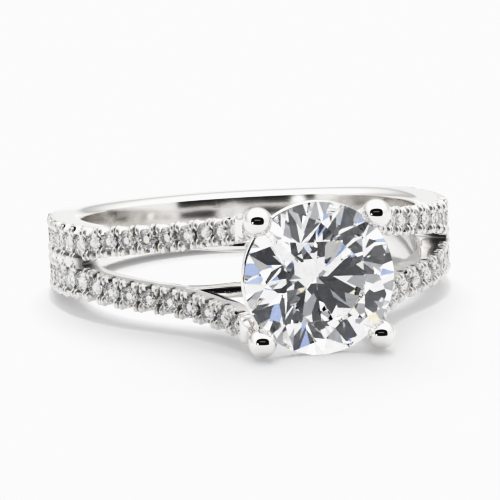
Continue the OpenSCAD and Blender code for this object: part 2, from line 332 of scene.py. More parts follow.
class ArmShape:
    """The upper right arm and its share of the band, by the length s along its outer face.

    s is 0 where the arm leaves the finger circle and grows towards the stone. A place is given as
    (sideways, height towards the stone, distance from the band's middle plane)."""

    def __init__(self, band, pave):
        self.band = band
        self.pave = pave
        self.outer_r = band.finger_d / 2 + band.band_t
        reach = self.outer_r + band.sweep_r
        self.centre = (reach * math.sin(band.lift_angle), reach * math.cos(band.lift_angle))
        self.back = -(math.pi - band.lift_angle) * self.outer_r
        self.end = (band.sweep_end - band.lift_angle) * band.sweep_r
        self.split = -(math.acos(band.split_h / self.outer_r) - band.lift_angle) * self.outer_r
        self.row_end = pave.first + pave.pitch / 2
        self.row_start = self.row_end - pave.count * pave.pitch
        self.edge_curve = SmoothCurve(EDGE_ROWS)
        self.gap_curve = SmoothCurve(GAP_ROWS)

    def side(self, s, depth):
        """Sideways and height of the point at a depth under the outer face."""
        band = self.band
        if s > 0:
            turn = band.lift_angle + s / band.sweep_r
            r = band.sweep_r + depth
            return self.centre[0] - r * math.sin(turn), self.centre[1] - r * math.cos(turn)
        turn = band.lift_angle - s / self.outer_r
        r = self.outer_r - depth
        # Beside the split the sections bend back with depth, so that it ends in one clean line
        bend = 1 - blend(*SPLIT_BEND, abs(s - self.split))
        turn += bend * band.split_run / self.outer_r * (depth / band.band_t) ** 2
        return r * math.sin(turn), r * math.cos(turn)

    def thickness(self, s):
        """Thickness of the band or arm, which thins along the sweep."""
        band = self.band
        if s <= 0:
            return band.band_t
        turn = s / band.sweep_r
        inner = band.sweep_r + band.band_t - band.inner_shift
        across = band.inner_shift * math.sin(turn)
        return band.inner_shift * math.cos(turn) + math.sqrt(inner * inner - across * across) - band.sweep_r

    def gap(self, height):
        """Half of the gap between the arms."""
        first = GAP_ROWS[0]
        rise = (height - self.band.split_h) / (first[0] * MM - self.band.split_h)
        if rise <= 0:
            return 0.0
        if rise < 1:
            return first[1] * MM * math.sqrt(rise) * (1 - NOSE_DIP * rise * (1 - rise))
        return self.gap_curve(height)

    def edge(self, height):
        """Half of the whole width over both arms."""
        return self.edge_curve(height)

    def middle(self, s):
        """Distance of the row's middle line from the band's middle plane."""
        height = self.side(s, 0)[1]
        return (self.gap(height) + self.edge(height)) / 2

    def slope(self, s):
        """How fast the row's middle line moves sideways along the arm."""
        step = 0.6 * MM
        return (self.middle(s + step) - self.middle(s - step)) / (2 * step)

    def in_row(self, s):
        """Whether s lies within the row of small stones, with both of its ends."""
        return self.row_start - ROW_SLACK <= s <= self.row_end + ROW_SLACK

    def centres(self):
        """The places of the small stones along the row."""
        return [self.pave.first - i * self.pave.pitch for i in range(self.pave.count)]

    def bounds(self):
        """The places between the small stones, with both ends of the row."""
        return [self.row_end - i * self.pave.pitch for i in range(self.pave.count + 1)]

    def cut(self, s, half):
        """How deep a round cut beside the nearest small stone is at s, from 0 to 1."""
        nearest = round((self.pave.first - s) / self.pave.pitch)
        nearest = min(self.pave.count - 1, max(0, nearest))
        off = abs(s - (self.pave.first - nearest * self.pave.pitch)) / half
        return math.sqrt(1 - off * off) if off < 1 else 0.0

    def notch(self, s):
        """How deep the cut between the nearest pair of beads is at s, from 0 to 1; the same share sets the
        painted shade in the cut.
        """
        if not self.in_row(s):
            return 0.0
        apart = (self.row_end - s) / self.pave.pitch
        off = abs(apart - round(apart)) * self.pave.pitch / self.pave.notch
        return math.sqrt(1 - off * off) if off < 1 else 0.0

    def slot(self, s):
        """How deep the slot in the wall along the gap is at s, from 0 to 1."""
        gap = self.gap(self.side(s, 0)[1])
        beside = s + (gap - self.middle(s)) * self.slope(s)
        return self.cut(beside, self.pave.slot) * blend(0.0, OPEN_GAP, gap)

    def shade(self, s, k):
        """Painted shade at the k-th point of the cross-section at s: how much darker the metal's colour is
        made there.
        """
        if not self.in_row(s) or TOP_POINTS <= k < GAP_SIDE_POINT:
            return 0.0
        if WALL_POINTS <= k < TOP_POINTS:
            return mix(FLOOR_SHADE if k < FLOOR_POINTS else 0.0, 1.0, self.notch(s))
        off = abs(s - self.split - SPLIT_SHADE_OFFSET)
        split = SPLIT_SHADE * (1 - blend(*SPLIT_SHADE_SPAN, off))
        if k >= GAP_SIDE_POINT:
            return split
        return max(GAP_WALL_SHADE, split, NOTCH_SHADE * self.notch(s), SLOT_SHADE * self.slot(s))

    def stations(self):
        """The lengths at which the arm's cross-section is made."""
        on_back, for_each_stone, on_end = 36, 20, 8
        close = 0.012 * MM
        places = [mix(self.back, self.row_start, i / on_back) for i in range(on_back)]
        step = self.pave.pitch / for_each_stone
        places += [self.row_start + i * step for i in range(for_each_stone * self.pave.count + 1)]
        # Close stations end the channels and walls in a clean step
        places += [self.row_start - close, self.row_end + close]
        rest = self.end - self.row_end
        places += [self.row_end + rest * i / on_end for i in range(1, on_end + 1)]
        # Fine stations follow the gap's round nose
        fine = [self.split + x * MM for x in (0, 0.005, 0.018, 0.04, 0.075, 0.12)]
        places = [s for s in places if min(abs(s - f) for f in fine) > close]
        return sorted(places + fine)

    def section(self, s):
        """The arm's cross-section: [(depth, share of the width from gap to edge, inset from there)]."""
        face = self.face_points(s)
        return face + self.inner_points(s, face[-1][0])

    def face_points(self, s):
        """The cross-section's points from the gap over the face and down the outer side.

        In a row of stones they give the channel between its walls. Elsewhere they lie in the plain face."""
        pave = self.pave
        in_row = self.in_row(s)
        made = []

        def add(paved, plain, side):
            depth, inset = paved if in_row else plain
            made.append((depth, side, inset))

        height = self.side(s, 0)[1]
        gap, edge = self.gap(height), self.edge(height)
        open_gap = blend(0.0, OPEN_GAP, gap)
        nick = self.notch(s) * pave.notch_depth
        round_out = self.band.outer_round
        round_gap = round_out * open_gap
        slant = 0.02 * MM

        # The wall along the gap, with the slots in its top
        seam = mix(0.02, 0.05, open_gap) * MM
        top, low, wall = pave.gap_rim + nick, pave.slot_depth * self.slot(s), pave.gap_wall
        add((top + seam + low, 0.0), (round_gap, 0.0), AT_GAP)
        add((top + low * 0.9, 0.3 * wall), (round_gap * 0.3, round_gap * 0.3), AT_GAP)
        add((top + low * 0.8, 0.65 * wall), (0.0, round_gap + 0.01 * MM), AT_GAP)
        add((top + 0.03 * MM + low * 0.7, wall), (0.0, round_gap + 0.05 * MM), AT_GAP)
        add((pave.channel, wall + slant), (0.0, round_gap + 0.1 * MM), AT_GAP)

        # The outer wall, with the scallops, which grow shallower where the row runs out towards the back
        deep = min(pave.scallop_depth, self.thickness(s) - LEAST_ARM)
        grown = [self.row_start + stones * pave.pitch for stones in SCALLOP_GROWTH]
        deep *= mix(SCALLOP_START, 1.0, blend(*grown, s))
        beside = s + (edge - self.middle(s)) * self.slope(s)
        top, low, wall = pave.rim + nick, deep * self.cut(beside, pave.scallop), pave.wall
        add((pave.channel, wall + slant), (0.0, round_out + 0.1 * MM), AT_EDGE)
        add((top, wall), (0.0, round_out + 0.05 * MM), AT_EDGE)
        add((top + low * 0.3, 0.62 * wall), (0.0, round_out + 0.01 * MM), AT_EDGE)
        add((top + low * 0.65, 0.28 * wall), (0.3 * round_out, 0.3 * round_out), AT_EDGE)
        add((top + 0.04 * MM + low, 0.0), (round_out, 0.0), AT_EDGE)
        add((top + 0.13 * MM + low, 0.0), (round_out + 0.1 * MM, 0.0), AT_EDGE)
        below = pave.rim + max(deep, pave.notch_depth) + 0.16 * MM
        add((below, 0.0), (below, 0.0), AT_EDGE)
        return made

    def inner_points(self, s, below):
        """The cross-section's other points, from a depth on the outer side round the inside to the gap."""
        band = self.band
        height = self.side(s, 0)[1]
        thick = self.thickness(s)
        made = []

        # The inner bevel is a quarter round on the arms, and wider and crisper at the back
        room = thick - below - LEAST_FLAT
        forward = blend(-self.outer_r, 0.0, height)
        round_in = min(room, mix(band.comfort_back, band.comfort_front, forward))
        round_top = min(room, mix(band.comfort_wide, band.comfort_front, forward))
        turn = mix(band.comfort_turn, math.pi / 2, forward)
        swell = mix(band.comfort_swell, 0.0, forward)
        for i in range(BEVEL_STEPS + 1):
            a = turn * i / BEVEL_STEPS
            across = round_top * (1 - math.sin(a) / math.sin(turn))
            inset = round_in * (1 - math.cos(a)) / (1 - math.cos(turn))
            made.append((thick - swell - across, AT_EDGE, inset))
        # The inner wall swells from the bevel to its middle
        for u in SWELL_SHARES:
            made.append((thick - swell * (1 - u) ** 2, 1 - u, round_in * (1 - u)))

        round_gap = band.gap_round * blend(0.0, OPEN_GAP, self.gap(height))
        for i in range(GAP_ROUND_STEPS + 1):
            a = math.pi / 2 * i / GAP_ROUND_STEPS
            made.append((thick - round_gap * (1 - math.cos(a)), AT_GAP, round_gap * (1 - math.sin(a))))
        return made + [(depth, AT_GAP, 0.0) for depth in GAP_SIDE_DEPTHS]

    def place(self, s, depth, side, inset):
        """The point at a share of the width from gap to edge, and an inset from there."""
        x, height = self.side(s, depth)
        gap, edge = self.gap(self.side(s, 0)[1]), self.edge(height)
        inward = inset if side < MIDDLE else -inset
        return Vector((x, height, mix(gap, edge, side) + inward))

    def ring(self, s):
        """The points of one cross-section, which swell into a round pad at the arm's end."""
        rows = [self.place(s, *row) for row in self.section(s)]
        swell = blend(self.row_end + PAD_START, self.end, s)
        if swell == 0:
            return rows
        hub = self.place(s, self.thickness(s) / 2, MIDDLE, 0.0)
        out = self.place(s, 0.0, MIDDLE, 0.0) - hub
        reach = out.length
        out.normalize()
        up = Vector((0, 0, 1))
        half = (self.edge(hub.y) - self.gap(hub.y)) / 2
        made = []
        for p in rows:
            a = math.atan2((p - hub).dot(up) / half, (p - hub).dot(out) / reach)
            round_point = hub + out * math.cos(a) * reach + up * math.sin(a) * half
            made.append(p.lerp(round_point, swell))
        return made

    def post_rings(self):
        """Round sections that carry the arm's end on into its ball tip."""
        band = self.band
        steps = 7
        fully_round = 0.75
        short = 0.2 * MM
        last = self.ring(self.end)
        half = self.thickness(self.end) / 2
        hub = self.place(self.end, half, MIDDLE, 0.0)
        tip = Vector((band.ball_off, band.ball_h, band.ball_off))
        ahead = (hub - self.place(self.end - short, half, MIDDLE, 0.0)).normalized()
        axis = (tip - hub).normalized()
        rings = []
        for i in range(1, steps + 1):
            t = i / steps
            middle = hub.lerp(tip, t) + (ahead - axis) * (t * (1 - t) ** 2) * (tip - hub).length
            ring = []
            for p in last:
                off = p - hub
                off -= axis * off.dot(axis)
                round_off = off.normalized() * band.post_d / 2
                ring.append(middle + off.lerp(round_off, blend(0.0, fully_round, t)))
            rings.append(ring)
        return rings


def set_down(mesh):
    """Turns a mesh made in the ring's own frame (X right, Y towards the stone) to where the ring lies."""
    lean = math.asin(HOLE["axis"][1])
    flip = Matrix.Diagonal((1, -1, 1, 1))
    mesh.transform(Matrix.Translation(HOLE_MIDDLE) @ Matrix.Rotation(-lean, 4, "X") @ flip)
    mesh.flip_normals()


def finish_mesh(bm, name, merge=MERGE, sharp=None):
    """Merges doubles, turns faces outward and returns the finished mesh.

    Edges sharper than the angle sharp, in degrees, stay crisp. Without it every facet stays flat."""
    bmesh.ops.remove_doubles(bm, verts=bm.verts, dist=merge)
    loose = [v for v in bm.verts if not v.link_faces]
    bmesh.ops.delete(bm, geom=loose, context="VERTS")
    bmesh.ops.recalc_face_normals(bm, faces=bm.faces)
    for face in bm.faces:
        face.smooth = sharp is not None
    mesh = bpy.data.meshes.new(name)
    bm.to_mesh(mesh)
    bm.free()
    if sharp is not None:
        mesh.set_sharp_from_angle(angle=math.radians(sharp))
    return mesh


def put(name, data):
    """Puts an object into the scene, in place of an older one of that name."""
    old = bpy.data.objects.get(name)
    if old:
        bpy.data.objects.remove(old)
    obj = bpy.data.objects.new(name, data)
    bpy.context.scene.collection.objects.link(obj)
    return obj


def show(name, mesh, material):
    """Puts a finished mesh into the scene with its one material."""
    mesh.materials.clear()
    mesh.materials.append(material)
    mesh.name = name
    return put(name, mesh)


class NodeSocket:
    """A node's output that takes part in Python sums, each of which adds a Math node."""

    def __init__(self, nodes, socket):
        self.nodes = nodes
        self.socket = socket

    def _sum(self, operation, *values):
        """One Math node's output."""
        return self.nodes.add("ShaderNodeMath", {"operation": operation}, *values)

    def __add__(self, other):
        return self._sum("ADD", self, other)

    def __sub__(self, other):
        return self._sum("SUBTRACT", self, other)

    def __rsub__(self, other):
        return self._sum("SUBTRACT", other, self)

    def __mul__(self, other):
        return self._sum("MULTIPLY", self, other)

    def most(self, other):
        """The larger of two values."""
        return self._sum("MAXIMUM", self, other)

    __radd__ = __add__
    __rmul__ = __mul__


class Nodes:
    """Adds nodes to a tree by type, settings and the values or links of their sockets."""

    def __init__(self, tree):
        self.tree = tree
        tree.nodes.clear()

    def add(self, kind, settings=None, *values, output=None, **named):
        """Feeds a new node's inputs, in their order or by name, and returns the output of that name."""
        node = self.tree.nodes.new(kind)
        for key, value in (settings or {}).items():
            setattr(node, key, value)
        by_name = [(self.find(node.inputs, key), value) for key, value in named.items()]
        for socket, value in [*zip(node.inputs, values), *by_name]:
            self.feed(socket, value)
        return NodeSocket(self, self.find(node.outputs, output)) if node.outputs else None

    def ramp(self, value, span, start=0.0, end=1.0):
        """A smooth step from start to end while the value passes through the span."""
        smooth = {"interpolation_type": "SMOOTHSTEP"}
        return self.add("ShaderNodeMapRange", smooth, value, *span, start, end)

    def find(self, sockets, name=None):
        """The first enabled socket, or the enabled one of a name, which has underscores for spaces."""
        wanted = name and name.replace("_", " ")
        return next(s for s in sockets if s.enabled and wanted in (None, s.name))

    def feed(self, socket, value):
        """Links a socket to another node's output, or sets its value."""
        if isinstance(value, NodeSocket):
            self.tree.links.new(value.socket, socket)
        elif value is not None:
            socket.default_value = value


def new_material(name):
    """An empty material with its node helper."""
    material = bpy.data.materials.get(name) or bpy.data.materials.new(name)
    material.use_nodes = True
    return material, Nodes(material.node_tree)


def white_gold(finishes, name="white_gold", rough=None):
    """Polished white gold, faintly uneven from polishing, with painted shade where the seat attribute says
    so.
    """
    material, nodes = new_material(name)
    place = nodes.add("ShaderNodeTexCoord", output="Object")
    cloud = nodes.add("ShaderNodeTexNoise", Vector=place, Scale=900.0, Detail=3.0)
    worn = nodes.ramp(nodes.add("ShaderNodeSeparateXYZ", None, place, output="Y"), WORN_SPAN)
    swell = nodes.add("ShaderNodeTexNoise", Vector=place, Scale=260.0, Detail=1.0)
    bump = nodes.add("ShaderNodeBump", Strength=0.06, Distance=0.02 * MM, Height=swell)
    # The seat attribute holds painted shade: it darkens the gold's colour and adds roughness in recesses
    seat = nodes.add("ShaderNodeAttribute", {"attribute_name": "seat"}, output="Fac")
    bright, dark = (*finishes.metal, 1), (*finishes.seat_metal, 1)
    tint = nodes.add("ShaderNodeMix", {"data_type": "RGBA"}, Factor=seat, A=bright, B=dark)
    base = finishes.metal_rough if rough is None else rough
    uneven = cloud * CLOUD_ROUGH + seat * SEAT_ROUGH + worn * finishes.worn_rough
    shader = nodes.add(
        "ShaderNodeBsdfPrincipled",
        Base_Color=tint,
        Metallic=1.0,
        Roughness=uneven + (base - CLOUD_MEAN),
        Normal=bump,
    )
    nodes.add("ShaderNodeOutputMaterial", Surface=shader)
    return material


def clear_stone(finishes, name, rough, gleam):
    """Clear cut stone: all of its looks come from its facets and what they mirror."""
    material, nodes = new_material(name)
    shader = nodes.add(
        "ShaderNodeBsdfPrincipled",
        Base_Color=(*finishes.stone, 1),
        Roughness=rough,
        IOR=finishes.stone_ior,
        Specular_Tint=(gleam, gleam, gleam, 1),
        Transmission_Weight=1.0,
    )
    nodes.add("ShaderNodeOutputMaterial", Surface=shader)
    return material


def brilliant(radius, stones, sides):
    """A round brilliant, table up, with its girdle's middle at the origin.

    A round bar of so many sides is cut by the plane of every facet."""
    table_r = radius * stones.table
    crown_h = 2 * radius * stones.crown
    pavilion_h = 2 * radius * stones.pavilion
    girdle = radius * stones.girdle
    mains = 8
    half = math.pi / mains

    def corner(r, h, turns):
        return Vector((r * math.cos(turns * half), r * math.sin(turns * half), h))

    star_r = (table_r * math.cos(half) + radius) / 2
    star_h = girdle + crown_h * (radius - star_r * math.cos(half)) / (radius - table_r)
    lower_r = radius * (1 - stones.lower_reach)
    lower_h = -girdle - pavilion_h * (1 - lower_r * math.cos(half) / radius)
    top = girdle + crown_h
    culet = Vector((0, 0, -girdle - pavilion_h))
    cuts = [(corner(table_r, top, 0), corner(table_r, top, 2), corner(table_r, top, 4))]
    for i in range(mains):
        even = 2 * i
        star, last_star = corner(star_r, star_h, even + 1), corner(star_r, star_h, even - 1)
        lower, last_lower = corner(lower_r, lower_h, even + 1), corner(lower_r, lower_h, even - 1)
        table, next_table = corner(table_r, top, even), corner(table_r, top, even + 2)
        high = [corner(radius, girdle, even + k) for k in range(3)]
        low = [corner(radius, -girdle, even + k) for k in range(3)]
        cuts += [(table, next_table, star), (table, star, last_star)]
        cuts += [(star, high[0], high[1]), (star, high[1], high[2])]
        cuts += [(culet, lower, last_lower), (lower, low[0], low[1]), (lower, low[1], low[2])]
    bm = bmesh.new()
    tall = 4 * radius
    # A fine bar is turned by half a side. A coarse one has its corners where the facets meet
    turn = math.pi / sides if sides > SMALL_SIDES else 0
    bmesh.ops.create_cone(
        bm, cap_ends=True, segments=sides, radius1=radius, radius2=radius, depth=tall,
        matrix=Matrix.Rotation(turn, 4, "Z"))
    for a, b, c in cuts:
        normal = (b - a).cross(c - a).normalized()
        if normal.dot(a) < 0:
            normal.negate()
        everything = bm.verts[:] + bm.edges[:] + bm.faces[:]
        cut = bmesh.ops.bisect_plane(
            bm, geom=everything, dist=FINEST_MERGE, plane_co=a, plane_no=normal, clear_outer=True)
        edges = [part for part in cut["geom_cut"] if isinstance(part, bmesh.types.BMEdge)]
        rim = [edge for edge in edges if len(edge.link_faces) < 2]
        if len(rim) > 2:
            bmesh.ops.holes_fill(bm, edges=rim, sides=0)
    bmesh.ops.rotate(bm, verts=bm.verts, matrix=Matrix.Rotation(half, 3, "Z"))
    return bm


def lathe(bm, outline, turn, steps):
    """Sweeps a closed outline of (radius, distance) points round the finger's axis between two angles."""
    start, end = turn
    rings = []
    for i in range(steps + 1):
        a = mix(start, end, i / steps)
        points = outline(a)
        rings.append([bm.verts.new((r * math.sin(a), r * math.cos(a), z)) for r, z in points])
    loft(bm, rings)
    bm.faces.new(rings[0])
    bm.faces.new(reversed(rings[-1]))


def loft(bm, rings):
    """Joins neighbouring rings of vertices with faces.

    The upper and lower arms are one in the band's middle plane, so no face is made in it."""
    for ring, following in zip(rings, rings[1:]):
        for k in range(len(ring)):
            j = (k + 1) % len(ring)
            corners = (ring[k], ring[j], following[j], following[k])
            if any(abs(v.co.z) >= FINEST_MERGE for v in corners):
                bm.faces.new(corners)


def rounded_bar(r0, r1, z0, z1, radius):
    """A rounded rectangle of (radius, distance) points."""
    made = []
    steps = 4
    corners = ((r1, z1, 1, 1), (r0, z1, -1, 1), (r0, z0, -1, -1), (r1, z0, 1, -1))
    for quarter, (r, z, sign_r, sign_z) in enumerate(corners):
        middle_r, middle_z = r - sign_r * radius, z - sign_z * radius
        for i in range(steps + 1):
            a = math.pi / 2 * (quarter + i / steps)
            made.append((middle_r + radius * math.cos(a), middle_z + radius * math.sin(a)))
    return made


def new_tree(name, sockets):
    """A Geometry Nodes tree with named inputs, its node helper, and the inputs' sockets by name."""
    old = bpy.data.node_groups.get(name)
    if old:
        bpy.data.node_groups.remove(old)
    tree = bpy.data.node_groups.new(name, "GeometryNodeTree")
    tree.interface.new_socket("Geometry", in_out="INPUT", socket_type="NodeSocketGeometry")
    for label, kind in sockets.items():
        tree.interface.new_socket(label, in_out="INPUT", socket_type=kind)
    tree.interface.new_socket("Geometry", in_out="OUTPUT", socket_type="NodeSocketGeometry")
    nodes = Nodes(tree)
    source = tree.nodes.new("NodeGroupInput")
    inputs = {s.name: NodeSocket(nodes, s) for s in source.outputs if s.name}
    return tree, nodes, inputs


def end_tree(nodes, made, material, smooth):
    """Ends a tree with real geometry that carries its material."""
    real = nodes.add("GeometryNodeRealizeInstances", None, made)
    shaded = nodes.add("GeometryNodeSetShadeSmooth", Geometry=real, Shade_Smooth=smooth)
    finished = nodes.add("GeometryNodeSetMaterial", Geometry=shaded, Material=material)
    nodes.add("NodeGroupOutput", None, finished)


def grow(tree, guide, values):
    """Runs a tree on a guide mesh and returns the plain mesh that comes out."""
    holder = bpy.data.objects.new("guide", guide)
    bpy.context.scene.collection.objects.link(holder)
    modifier = holder.modifiers.new("grow", "NODES")
    modifier.node_group = tree
    sockets = [item for item in tree.interface.items_tree if item.in_out == "INPUT"]
    names = {item.name: item.identifier for item in sockets}
    for label, value in values.items():
        modifier[names[label]] = value
    holder.update_tag()
    graph = bpy.context.evaluated_depsgraph_get()
    mesh = bpy.data.meshes.new_from_object(holder.evaluated_get(graph), depsgraph=graph)
    holder.modifiers.remove(modifier)
    bpy.data.objects.remove(holder)
    return mesh


def seat_tree(material, smooth):
    """Sets copies of one shape on guide points, turned by the points' own directions."""
    tree, nodes, inputs = new_tree("seat_on_points", {
        "Shape": "NodeSocketObject",
        "Spin": "NodeSocketFloat",
        "Tilt": "NodeSocketFloat",
        "Seed": "NodeSocketInt",
    })
    vector, number = {"data_type": "FLOAT_VECTOR"}, {"data_type": "FLOAT"}
    own_space, local = {"transform_space": "ORIGINAL"}, {"rotation_space": "LOCAL"}
    axes = {"primary_axis": "Z", "secondary_axis": "X"}
    shape = nodes.add("GeometryNodeObjectInfo", own_space, inputs["Shape"], output="Geometry")
    out = nodes.add("GeometryNodeInputNamedAttribute", vector, "out")
    along = nodes.add("GeometryNodeInputNamedAttribute", vector, "along")
    facing = nodes.add("FunctionNodeAxesToRotation", axes, out, along)

    # Each copy spins about its own axis, and leans about an axis that lies across it
    draw, turn = "FunctionNodeRandomValue", "FunctionNodeAxisAngleToRotation"
    spin = nodes.add(draw, number, Min=0.0, Max=inputs["Spin"], Seed=inputs["Seed"])
    spun = nodes.add(turn, None, (0.0, 0.0, 1.0), spin)
    least, lean_seed = inputs["Tilt"] * -1.0, inputs["Seed"] + 7.0
    lean = nodes.add(draw, number, Min=least, Max=inputs["Tilt"], Seed=lean_seed)
    leaned = nodes.add(turn, None, (0.6, 0.8, 0.0), lean)
    leaning = nodes.add("FunctionNodeRotateRotation", local, facing, leaned)
    turned = nodes.add("FunctionNodeRotateRotation", local, leaning, spun)
    copies = nodes.add(
        "GeometryNodeInstanceOnPoints", Points=inputs["Geometry"], Instance=shape, Rotation=turned)
    end_tree(nodes, copies, material, smooth)
    return tree


def wire_ring_tree(material):
    """A round wire bent into a ring."""
    number, circle = "NodeSocketFloat", "GeometryNodeCurvePrimitiveCircle"
    tree, nodes, inputs = new_tree("wire_ring", {"Radius": number, "Wire": number, "Height": number})
    path = nodes.add(circle, Resolution=128, Radius=inputs["Radius"])
    wire = nodes.add(circle, Resolution=16, Radius=inputs["Wire"])
    bent = nodes.add("GeometryNodeCurveToMesh", None, path, wire)
    lifted = nodes.add("ShaderNodeCombineXYZ", None, 0.0, inputs["Height"], 0.0)
    upright = (math.pi / 2, 0.0, 0.0)
    stood = nodes.add("GeometryNodeTransform", Geometry=bent, Translation=lifted, Rotation=upright)
    end_tree(nodes, stood, material, True)
    return tree


def guide_points(points):
    """A mesh of loose points with the directions that the seat tree reads."""
    mesh = bpy.data.meshes.new("guide")
    mesh.from_pydata([p for p, out, along in points], [], [])
    for label, column in (("out", 1), ("along", 2)):
        layer = mesh.attributes.new(label, "FLOAT_VECTOR", "POINT")
        layer.data.foreach_set("vector", [c for row in points for c in row[column]])
    return mesh


def row_frame(arm, s, depth, offset):
    """The point, outward and onward directions on a row, at an offset across from its middle line."""
    step_mm = 0.1
    slope = arm.slope(s)
    on = s - offset * slope
    x, height = arm.side(on, depth)
    x0, height0 = arm.side(on - step_mm / 2 * MM, 0)
    x1, height1 = arm.side(on + step_mm / 2 * MM, 0)
    along = Vector((x1 - x0, height1 - height0, slope * step_mm * MM)).normalized()
    out = Vector((height1 - height0, x0 - x1, 0)).normalized()
    face, under = Vector((*arm.side(on, 0), 0)), Vector((*arm.side(on, step_mm * MM), 0))
    if out.dot(face - under) < 0:
        out.negate()
    return Vector((x, height, arm.middle(s) + offset)), out, along


def mirrored(points, right, up):
    """Guide points carried over to another of the four places."""
    sign = Vector((right, 1, up))
    return [[vector * sign for vector in row] for row in points]


class RING_OT_build_band(bpy.types.Operator):
    """Build the plain back, the shoulders and the four rising arms with their channels and scallops"""

    bl_idname = "ring.build_band"
    bl_label = "Band and Arms"

    def execute(self, context):
        scene = context.scene
        arm = ArmShape(scene.ring_band, scene.ring_pave)
        bm = bmesh.new()
        # Each point keeps its painted shade in the seat attribute, which the white gold reads as darker
        # colour
        seat = bm.verts.layers.float.new("seat")
        stations = arm.stations()
        sections = [arm.ring(s) for s in stations] + arm.post_rings()
        for _, _, right, up in PLACES:
            rings = []
            for section in sections:
                rings.append([bm.verts.new((right * p.x, p.y, up * p.z)) for p in section])
            for s, ring in zip(stations, rings):
                for k, vert in enumerate(ring):
                    vert[seat] = arm.shade(s, k)
            loft(bm, rings)
            bm.faces.new(rings[-1])
        mesh = finish_mesh(bm, "band_and_arms", sharp=38)
        set_down(mesh)
        band = show("band_and_arms", mesh, white_gold(scene.ring_finish))
        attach(band, "root")
        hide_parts("setting")
        return {"FINISHED"}


def strand_outline(band, a, up):
    """One strand's section at an angle from the stone, above the band's middle plane or below it."""
    near = band.strand_gap / 2 + band.strand_flare * blend(*STRAND_FLARE, abs(a))
    inner = band.finger_d / 2
    bar = rounded_bar(inner, inner + band.strand_t, near, near + band.strand_w, STRAND_ROUND)
    return [(r, up * z) for r, z in bar]


class RING_OT_build_strands(bpy.types.Operator):
    """Build the two thin strands that close the finger circle below the stone"""

    bl_idname = "ring.build_strands"
    bl_label = "Hoop Strands"

    def execute(self, context):
        scene = context.scene
        band = scene.ring_band
        reach = band.lift_angle + STRAND_LAP
        bm = bmesh.new()
        for up in (1, -1):
            lathe(bm, lambda a: strand_outline(band, a, up), (-reach, reach), STRAND_STEPS)
        mesh = finish_mesh(bm, "hoop_strands", sharp=50)
        set_down(mesh)
        strands = show("hoop_strands", mesh, white_gold(scene.ring_finish))
        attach(strands, "root")
        return {"FINISHED"}


class RING_OT_build_rail(bpy.types.Operator):
    """Build the round gallery rail under the stone's girdle"""

    bl_idname = "ring.build_rail"
    bl_label = "Gallery Rail"

    def execute(self, context):
        scene = context.scene
        band = scene.ring_band
        material = white_gold(scene.ring_finish)
        sizes = {"Radius": band.rail_r, "Wire": band.rail_wire / 2, "Height": band.rail_h}
        mesh = grow(wire_ring_tree(material), bpy.data.meshes.new("guide"), sizes)
        set_down(mesh)
        rail = show("gallery_rail", mesh, material)
        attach(rail, "root")
        return {"FINISHED"}


class RING_OT_build_tips(bpy.types.Operator):
    """Build the four polished ball tips that hold the stone"""

    bl_idname = "ring.build_tips"
    bl_label = "Ball Tips"

    def execute(self, context):
        scene = context.scene
        band = scene.ring_band
        radius = band.ball_d / 2
        bm = bmesh.new()
        for _, _, right, up in PLACES:
            middle = Matrix.Translation((right * band.ball_off, band.ball_h, up * band.ball_off))
            bmesh.ops.create_uvsphere(bm, u_segments=64, v_segments=32, radius=radius, matrix=middle)
        mesh = finish_mesh(bm, "ball_tips", sharp=60)
        set_down(mesh)
        tips = show("ball_tips", mesh, white_gold(scene.ring_finish))
        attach(tips, "root")
        return {"FINISHED"}


class RING_OT_set_small_stones(bpy.types.Operator):
    """Set the four rows of small brilliants"""

    bl_idname = "ring.set_small_stones"
    bl_label = "Small Stones"

    def execute(self, context):
        scene = context.scene
        stones, finishes = scene.ring_stones, scene.ring_finish
        arm = ArmShape(scene.ring_band, scene.ring_pave)
        radius = stones.small_d / 2
        bm = brilliant(radius, stones, SMALL_SIDES)
        top = radius * (stones.girdle + 2 * stones.crown)
        bmesh.ops.translate(bm, verts=bm.verts, vec=(0, 0, -top))
        shape = finish_mesh(bm, "small_stone_pattern", FINE_MERGE)
        pattern = bpy.data.objects.new("small_stone_pattern", shape)
        material = clear_stone(finishes, "pave_stone", rough=0.01, gleam=finishes.small_gleam)
        tree = seat_tree(material, False)
        points = [row_frame(arm, s, stones.small_table_d, 0.0) for s in arm.centres()]
        for seed, (side, level, right, up) in enumerate(PLACES, STONE_SEED):
            values = {"Shape": pattern, "Spin": math.pi / 4, "Tilt": stones.tilt, "Seed": seed}
            mesh = grow(tree, guide_points(mirrored(points, right, up)), values)
            set_down(mesh)
            row = show(f"small_stones_{side}_{level}", mesh, material)
            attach(row, "root")
            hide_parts(f"pave_{side}_{level}")
        bpy.data.objects.remove(pattern)
        return {"FINISHED"}


